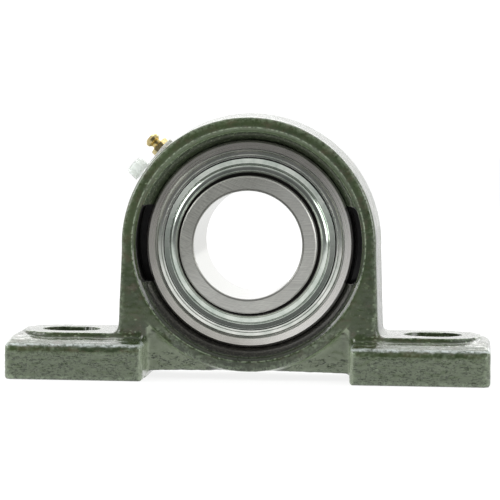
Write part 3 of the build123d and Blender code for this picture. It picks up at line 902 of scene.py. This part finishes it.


# ---------------- enamel
# Colours of the casting's paint and skin, and of the light, shade and highlights painted on them.
ENAMEL, ENAMEL_PALE = linear(44, 56, 33), linear(59, 72, 42)
ENAMEL_BROWN = linear(78, 68, 52)
ENAMEL_SHADED = linear(30, 38, 24)
ENAMEL_SPECK = linear(98, 112, 86)
# painted light: the white table's reflection on the feet's low fronts, in the pockets and on the legs' inner walls
FOOT_PAINTED_LIGHT, POCKET_PAINTED_LIGHT = linear(102, 113, 91), linear(140, 151, 127)
WALL_PAINTED_LIGHT = linear(168, 180, 154)
# painted shade in the skin's short furrows
CREASE_SHADE = linear(38, 50, 29)
CHIP = linear(142, 158, 128)
WORN_EDGE_HIGHLIGHT = linear(164, 180, 152)
RING_LIP_HIGHLIGHT = linear(150, 168, 132)
FOOT_BROW_HIGHLIGHT = linear(204, 213, 210)
CHAMFER_SHADE, CHAMFER_LIGHT = linear(20, 24, 15), linear(104, 120, 92)
CONE_PAINT, CONE_PAINT_GRAIN = linear(44, 54, 34), linear(130, 144, 114)
CONE_SHADE, CONE_SHADE_GRAIN = linear(22, 21, 18), linear(84, 84, 72)
NOTCH_SHADE = linear(14, 14, 13)

# Heights over the base between which the paint's looks change.
RING_SHADE_HEIGHTS = (4 * MM, 22 * MM)
FOOT_SKIN_TOP = (11.8 * MM, 12.5 * MM)
POCKET_SKIN_TOP = (23 * MM, 25 * MM)
FOOT_WALL_TOP = (14 * MM, 15.2 * MM)
POCKET_GAP_HEIGHTS = (9 * MM, 15 * MM)
CHIP_HEIGHTS = (16 * MM, 31 * MM)
CHIP_START = (15 * MM, 15.6 * MM)
LIP_TOP = (14 * MM, 24 * MM)
EDGE_WEAR_HIGHLIGHT_HEIGHTS = (20 * MM, 36 * MM)
BROW_START = (13.9 * MM, 14.9 * MM)
BROW_END = (15.3 * MM, 15.8 * MM)
RIPPLE_HEIGHTS = (30 * MM, 60 * MM)
LOWER_SHADE_HEIGHTS = (BEARING_HEIGHT - 22 * MM, BEARING_HEIGHT - 2 * MM)
UPPER_LIGHT_HEIGHTS = (BEARING_HEIGHT + 10 * MM, BEARING_HEIGHT + 34 * MM)

# Radii about the shaft, and distances from the part's middle planes, where they change.
RING_SHADE_RADII = (50.2 * MM, 50.8 * MM)
OUTSIDE_RADII = (50.6 * MM, 50.9 * MM)
CHIP_RADII = (51.5 * MM, 53 * MM)
LIP_RADIUS = 50.75 * MM
LEG_START = (40 * MM, 41 * MM)
POCKET_HALF_WIDTH = 17.6 * MM
BROW_HALF_WIDTH = 19 * MM

CHIP_NOWHERE = 0.975  # chance that a cell must pass to be a chip, away from the legs
CHIP_LEG = 0.35  # and at the foot of the legs


def casting_regions(shader):
    """Where a point of the casting lies, and the regions and grains that its looks follow."""
    place = shader.place()
    x, y, z = shader.split(place)
    radius = shader.distance(x, z, 0.0, BEARING_HEIGHT)
    ragged = shader.times(shader.noise(shader.stretch(place, (0.6, 1, 1)), 700, 2), 1.6 * MM)
    return SimpleNamespace(
        place=place,
        height=z,
        radius=radius,
        across=shader.plain(x),
        depth=shader.plain(y),
        outside=shader.span(radius, *OUTSIDE_RADII),
        wide=shader.span(shader.plain(x), *LEG_START),
        ragged_height=shader.math("ADD", z, ragged),
        upward=shader.facing(2),
        broken=shader.noise(place, 800, 3, 0.6),
    )


def mottled_enamel(shader, on):
    """Plain enamel, clouded and with brownish blotches, with painted shade low on the ring."""
    cloud = shader.noise(on.place, 45, 4, 0.6)
    colour = shader.mix(shader.span(cloud, 0.38, 0.62), ENAMEL, ENAMEL_PALE)
    blotch = shader.noise(shader.stretch(on.place, (1, 1, 1.4)), 170, 4, 0.65)
    colour = shader.mix(shader.span(blotch, 0.5, 0.66, 0, 0.55), colour, ENAMEL_BROWN)
    # painted shade: the ring's face is darker low down
    low_ring_shade = shader.times(
        shader.span(on.height, *RING_SHADE_HEIGHTS, 0.55, 0),
        shader.span(on.radius, *RING_SHADE_RADII, 1, 0),
    )
    return shader.mix(low_ring_shade, colour, ENAMEL_SHADED)


def foot_skin(shader, on, colour):
    """Feet and pockets: wrinkled skin, with painted light on its high spots and painted shade in its short
    furrows.

    Returns the colour, where the skin stands high and how far it shows.
    """
    low = shader.times(on.outside, shader.span(on.ragged_height, *FOOT_SKIN_TOP, 1, 0))
    pocket = shader.times(
        on.outside,
        shader.math("SUBTRACT", 1.0, on.wide),
        shader.math("LESS_THAN", on.depth, POCKET_HALF_WIDTH),
        shader.span(on.height, *POCKET_SKIN_TOP, 1, 0),
    )
    lit_wall = shader.times(
        shader.band(on.across, FOOT_INNER, 1.6 * MM, 2.6 * MM),
        shader.span(shader.plain(shader.facing(0)), 0.3, 0.6),
        on.outside,
        shader.span(on.height, *FOOT_WALL_TOP, 1, 0),
    )
    upright = shader.span(shader.plain(on.upward), 0.5, 0.75, 1, 0)
    shown = shader.times(upright, shader.larger(low, pocket, lit_wall))

    wrinkle = shader.noise(shader.stretch(on.place, (0.36, 0.7, 1)), 1250, 2, 0.6, 0.5)
    crease = shader.span(shader.plain(shader.math("SUBTRACT", wrinkle, 0.5)), 0.012, 0.05)
    gap = shader.noise(shader.stretch(on.place, (0.5, 1, 1)), 620, 3)
    gap_share = shader.blend(on.wide, shader.span(on.height, *POCKET_GAP_HEIGHTS, 0.5, 0.2), 0.56)
    gap = shader.span(shader.math("SUBTRACT", gap, gap_share), -0.03, 0.03)
    high = shader.larger(crease, gap)
    # painted light on the skin's high spots, in place of the white table's reflection
    lit_and_shaded_skin = shader.mix(high, CREASE_SHADE, shader.mix(on.wide, POCKET_PAINTED_LIGHT, FOOT_PAINTED_LIGHT))
    colour = shader.mix(shader.times(shown, 0.94), colour, lit_and_shaded_skin)
    # painted light on the legs' inner walls
    colour = shader.mix(shader.times(lit_wall, 0.5), colour, WALL_PAINTED_LIGHT)
    speck = shader.noise(shader.stretch(on.place, (0.6, 1, 1)), 480, 4, 0.6)
    colour = shader.mix(shader.span(speck, 0.62, 0.7, 0, 0.45), colour, ENAMEL_SPECK)
    return colour, high, shown


def chips(shader, on, colour, skin):
    """Flecks where the enamel is chipped, thickest on the legs just above the feet.

    Returns the colour and the flecks.
    """
    stretched = shader.stretch(on.place, (0.6, 1, 1))
    cells = shader.node("TexVoronoi", {"Vector": stretched, "Scale": 900.0}).node.outputs
    chance = shader.node("SeparateColor", {0: cells["Color"]})
    on_leg = shader.times(
        shader.span(on.radius, *CHIP_RADII), on.wide, shader.span(on.height, *CHIP_START)
    )
    wanted = shader.span(on.height, *CHIP_HEIGHTS, CHIP_LEG, CHIP_NOWHERE)
    wanted = shader.blend(on_leg, CHIP_NOWHERE, wanted)
    wanted = shader.larger(wanted, shader.times(skin, 0.985))
    fleck = shader.times(
        shader.math("GREATER_THAN", chance, wanted),
        shader.span(cells["Distance"], 0.18, 0.42, 1, 0),
    )
    return shader.mix(shader.times(fleck, 0.55), colour, CHIP), fleck


def worn_and_highlit_edges(shader, on, colour):
    """Worn paint and painted highlights on convex edges, and painted highlights on the mouth's rim, the feet's
    edges and the ring's lip.
    """
    edge = shader.node("Attribute", output=2, attribute_name="edge")
    edge = shader.times(edge, shader.span(on.height, *EDGE_WEAR_HIGHLIGHT_HEIGHTS, 1, 0.5))
    # painted highlights on the mouth's two rims
    rim = shader.larger(
        shader.band(on.radius, MOUTH_RADIUS + MOUTH_CHAMFER, 0.14 * MM, 0.34 * MM),
        shader.band(on.radius, MOUTH_RADIUS, 0.08 * MM, 0.2 * MM),
    )
    # worn paint and painted highlight on convex edges
    worn_and_highlit = shader.times(shader.larger(edge, rim), shader.span(on.broken, 0.4, 0.6, 0.05, 1))
    colour = shader.mix(shader.times(worn_and_highlit, 0.6), colour, WORN_EDGE_HIGHLIGHT)
    # painted highlight along the feet's upper front edges
    brow_highlight = shader.times(
        shader.span(on.ragged_height, *BROW_START),
        on.wide,
        shader.span(on.height, *BROW_END, 1, 0),
        shader.span(on.upward, 0.7, 0.92, 1, 0),
        shader.math("GREATER_THAN", on.depth, BROW_HALF_WIDTH),
        shader.span(on.broken, 0.36, 0.52, 0.2, 1.0),
    )
    colour = shader.mix(brow_highlight, colour, FOOT_BROW_HIGHLIGHT)
    # painted highlight along the ring's lower outer edge
    lip_highlight = shader.times(
        shader.band(on.radius, LIP_RADIUS, 0.3 * MM, 0.6 * MM),
        shader.span(on.height, *LIP_TOP, 1, 0),
    )
    return shader.mix(shader.times(lip_highlight, 0.75), colour, RING_LIP_HIGHLIGHT)


def mouth(shader, on, colour):
    """The chamfer and the cone inside it, with painted shade in their lower half and painted light on the
    chamfer's upper part, and the notches.

    Returns the colour and where the surface is dull.
    """
    chamfer = shader.band(on.radius, MOUTH_RADIUS + 0.6 * MM, 0.9 * MM, 1.1 * MM)
    # painted shade in the lower half of the chamfer and cone, and painted light on the chamfer's upper part
    lower_shade = shader.span(on.height, *LOWER_SHADE_HEIGHTS, 1, 0)
    upper_light = shader.span(on.height, *UPPER_LIGHT_HEIGHTS)
    colour = shader.mix(shader.times(chamfer, shader.times(lower_shade, 0.6)), colour, CHAMFER_SHADE)
    colour = shader.mix(shader.times(chamfer, shader.times(upper_light, 0.4)), colour, CHAMFER_LIGHT)

    cone = shader.math("LESS_THAN", on.radius, MOUTH_RADIUS - 0.05 * MM)
    sand = shader.noise(on.place, 1300, 3, 0.7)
    painted_cone = shader.mix(shader.span(sand, 0.57, 0.68), CONE_PAINT, CONE_PAINT_GRAIN)
    shaded_cone = shader.mix(shader.span(sand, 0.52, 0.7), CONE_SHADE, CONE_SHADE_GRAIN)
    # the cone: enamel above, painted shade below
    colour = shader.mix(cone, colour, shader.mix(lower_shade, painted_cone, shaded_cone))

    level = shader.plain(shader.math("SUBTRACT", on.height, BEARING_HEIGHT))
    # near-black painted shade where the loading notches are, by height and radius, on both sides of the middle
    # plane
    notch = shader.times(
        shader.math("LESS_THAN", on.radius, NOTCH_RADIUS + 0.02 * MM),
        shader.math("LESS_THAN", level, NOTCH_HALF_HEIGHT + 0.1 * MM),
        shader.math("LESS_THAN", on.depth, ARCH_FACE - 0.5 * MM),
    )
    return shader.mix(notch, colour, NOTCH_SHADE), shader.larger(cone, notch)


def painted():
    """Dark green enamel on a sand casting: mottled, flecked, thin along the edges, and with painted light, shade
    and highlights.
    """
    shader = Shader("green_enamel")
    on = casting_regions(shader)
    colour = mottled_enamel(shader, on)
    colour, high, skin = foot_skin(shader, on, colour)
    colour, fleck = chips(shader, on, colour, skin)
    colour = worn_and_highlit_edges(shader, on, colour)
    colour, dull = mouth(shader, on, colour)

    rough = shader.span(shader.noise(on.place, 240, 3), 0.35, 0.65, 0.2, 0.36)
    ripple = shader.noise(shader.stretch(on.place, (0.55, 1, 1)), 620, 4, 0.6)
    ripple = shader.times(ripple, shader.span(on.height, *RIPPLE_HEIGHTS, 1, 0.3))
    grain = shader.noise(on.place, 2400, 2, 0.5)
    normal = shader.bump(ripple, 0.00022, 0.5)
    normal = shader.bump(shader.times(high, skin), 0.00012, 0.7, normal)
    normal = shader.bump(shader.math("ADD", grain, fleck), 0.00005, 0.5, normal)
    return shader.principled(
        {
            "Base Color": colour,
            "Roughness": shader.math("ADD", rough, shader.times(dull, 0.3)),
            "Specular IOR Level": 0.35,
            "Coat Weight": 0.65,
            "Coat Roughness": 0.1,
            "Normal": normal,
        }
    )


# ---------------- metals and plastics
RACE_STEEL = linear(206, 204, 197)
# painted light on the rings' ground faces, towards one side
RACE_LIT = linear(246, 245, 240)
RING_STEEL = linear(218, 219, 211)
RING_LIT = linear(246, 246, 242)
RING_BORE = linear(222, 223, 220)
RING_RIM = linear(84, 84, 80)
RING_SHOULDER_SHADE = linear(30, 29, 28)

# The inner ring: its middle along the shaft, and the radii of its bore, rim and shoulder.
RING_MIDDLE = 5.6 * MM
RING_FACE = 24.4 * MM  # from that middle
BORE_LIMIT = 21.6 * MM
RIM_RADIUS = 21.95 * MM
SHOULDER_RADIUS = 27.9 * MM
BORE_ROUGHNESS = 0.15

# Centres, across and up, of the arcs that cross-grinding leaves, and how fine each set is.
GRINDING_ARCS = ((0.02, 0.144, 3600), (-0.09, 0.13, 2600))


def turned_lines(shader, radius, along, scale):
    """Fine rings left by the tool or the wheel on a turned piece."""
    lane = shader.node("CombineXYZ", {0: radius, 1: along})
    return shader.noise(lane, scale, 3, 0.65)


def lit_side(shader, place, across, up, start, end, most):
    """Painted light on a ground face, rising towards one side of it."""
    x, _, z = shader.split(place)
    level = shader.times(shader.math("SUBTRACT", z, BEARING_HEIGHT), up)
    return shader.span(shader.math("MULTIPLY_ADD", x, across, level), start, end, 0, most)


def outer_steel():
    """Ground bearing steel with rings that follow the wheel, and painted light towards one side."""
    shader = Shader("turned_steel")
    place = shader.place()
    lines = turned_lines(shader, *shader.about_shaft(), 5200)
    cloud = shader.noise(place, 90, 3)
    tone = shader.mix(shader.span(cloud, 0.35, 0.65), RACE_STEEL, shade(RACE_STEEL, 0.82))
    tone = shader.mix(shader.span(lines, 0.42, 0.64, 0, 0.45), tone, shade(RACE_STEEL, 0.5))
    # painted light, rising towards one side of the face
    smooth = lit_side(shader, place, 0.9, -0.42, 12 * MM, 32 * MM, 0.9)
    return shader.principled(
        {
            "Base Color": shader.mix(smooth, tone, RACE_LIT),
            "Metallic": 1.0,
            "Roughness": shader.span(lines, 0.35, 0.65, 0.2, 0.32),
            "Normal": shader.bump(lines, 0.00002, 0.6),
        }
    )


def inner_steel():
    """Inner ring: cross-ground ends, a polished bore, painted light towards one side and painted shade on its
    shoulder.
    """
    shader = Shader("ground_steel")
    place = shader.place()
    radius, along = shader.about_shaft()
    x, _, z = shader.split(place)
    wobble = shader.times(shader.noise(place, 40, 2), 0.004)
    arcs = []
    for centre_x, centre_z, scale in GRINDING_ARCS:
        reach = shader.distance(x, z, centre_x, centre_z)
        lane = shader.node("CombineXYZ", {0: reach, 1: wobble})
        arcs.append(shader.noise(lane, scale, 4, 0.7))
    strokes = shader.blend(0.25, *arcs)
    from_middle = shader.plain(shader.math("SUBTRACT", along, RING_MIDDLE))
    face = shader.math("GREATER_THAN", from_middle, RING_FACE)
    lines = shader.blend(face, turned_lines(shader, radius, along, 4200), strokes)

    bore = shader.math("LESS_THAN", radius, BORE_LIMIT)
    rim = shader.band(radius, RIM_RADIUS, 0.22 * MM, 0.42 * MM)
    shoulder = shader.band(radius, SHOULDER_RADIUS, 0.6 * MM, 0.7 * MM)
    cloud = shader.noise(place, 60, 3)
    tone = shader.mix(shader.span(cloud, 0.35, 0.65), RING_STEEL, shade(RING_STEEL, 0.84))
    tone = shader.mix(shader.span(lines, 0.4, 0.6, 0, 0.72), tone, shade(RING_STEEL, 0.36))
    # painted light, rising towards one side of the face
    smooth = lit_side(shader, place, 0.7, -0.7, -17 * MM, -2 * MM, 0.33)
    tone = shader.mix(smooth, tone, RING_LIT)
    tone = shader.mix(bore, tone, RING_BORE)
    tone = shader.mix(shader.times(rim, 0.7), tone, RING_RIM)
    # painted shade on the shoulder, in the narrow gap beside the flinger
    tone = shader.mix(shoulder, tone, RING_SHOULDER_SHADE)
    rough = shader.blend(bore, shader.span(lines, 0.35, 0.65, 0.28, 0.42), BORE_ROUGHNESS)
    depth = shader.blend(bore, 1.0, 0.08)
    return shader.principled(
        {
            "Base Color": tone,
            "Metallic": 1.0,
            "Roughness": shader.math("ADD", rough, shader.times(shoulder, 0.3)),
            "Specular Tint": (0.87, 0.87, 0.86, 1),
            "Normal": shader.bump(shader.times(lines, depth), 0.00003, 0.6),
        }
    )


def zinc_plate(name, light, dark, roughness):
    """Pressed and zinc-plated sheet, with rings left by pressing and a faint tint."""
    shader = Shader(name)
    place = shader.place()
    rings = turned_lines(shader, shader.about_shaft()[0], 0.0, 2600)
    cloud = shader.noise(place, 130, 4, 0.6)
    tint = shader.mix(shader.span(cloud, 0.38, 0.62), light, dark)
    tint = shader.mix(shader.span(rings, 0.52, 0.66, 0, 0.28), tint, shade(dark, 0.5))
    spots = shader.noise(place, 1100, 2, 0.5)
    normal = shader.bump(rings, 0.00001, 0.4)
    return shader.principled(
        {
            "Base Color": tint,
            "Metallic": 1.0,
            "Roughness": shader.span(cloud, 0.35, 0.65, roughness, roughness + 0.06),
            "Normal": shader.bump(spots, 0.00002, 0.3, normal),
        }
    )


def metal(name, colour, roughness):
    """Plain metal with a fine grain."""
    shader = Shader(name)
    grain = shader.noise(shader.place(), 900, 3)
    return shader.principled(
        {
            "Base Color": shader.mix(shader.span(grain, 0.4, 0.65), colour, shade(colour, 0.7)),
            "Metallic": 1.0,
            "Roughness": shader.span(grain, 0.35, 0.65, roughness, roughness + 0.12),
            "Normal": shader.bump(grain, 0.00002, 0.5),
        }
    )


def plastic(name, light, dark, roughness, subsurface=0.0, through=0.0):
    """Moulded plastic or rubber; through is the share of it that is milky and lets light in."""
    shader = Shader(name)
    place = shader.place()
    grain = shader.noise(place, 1400, 3, 0.6)
    cloud = shader.noise(place, 150, 3)
    tone = shader.mix(shader.span(cloud, 0.35, 0.65), light, dark)
    solid = shader.node(
        "BsdfPrincipled",
        {
            "Base Color": tone,
            "Roughness": shader.span(grain, 0.35, 0.65, roughness, roughness + 0.1),
            "Subsurface Weight": subsurface,
            "Subsurface Radius": (0.002, 0.002, 0.0022),
            "Normal": shader.bump(grain, 0.00003, 0.5),
        },
    )
    if not through:
        return shader.finish(solid)
    milky = shader.node("BsdfTranslucent", {"Color": tone})
    return shader.finish(shader.node("MixShader", {0: through, 1: solid, 2: milky}))


turned_face = outer_steel()
shield_zinc = zinc_plate("shield_zinc", linear(226, 228, 222), linear(202, 208, 200), 0.18)
flinger_zinc = zinc_plate("flinger_zinc", linear(216, 222, 214), linear(188, 198, 189), 0.12)
polished = metal("polished_steel", linear(215, 215, 218), 0.08)
cap_shades = (linear(254, 255, 254), linear(248, 251, 249))
enamel = painted()

finishes = {
    "housing_paint": enamel,
    "ring_steel": turned_face,
    "ball_steel": polished,
    "cage_steel": turned_face,
    "shield_zinc": shield_zinc,
    "flinger_zinc": flinger_zinc,
    "lip_rubber": plastic("nitrile_rubber", linear(22, 22, 22), linear(34, 34, 33), 0.55),
    "screw_black": metal("black_oxide", linear(60, 60, 64), 0.4),
    "nipple_brass": metal("brass", linear(208, 190, 136), 0.16),
    "cap_plastic": plastic("natural_polyethylene", *cap_shades, 0.3, subsurface=0.5, through=0.93),
    "spring_steel": polished,
}
for entry in frame["record"]["subparts"]:
    node = nodes[entry["node"]]
    node.data.materials.clear()
    node.data.materials.append(finishes[entry["material_slot"]])
nodes["inner_ring"].data.materials[0] = inner_steel()

make_camera()
make_casting()
make_seals()
make_spring()
make_studio()
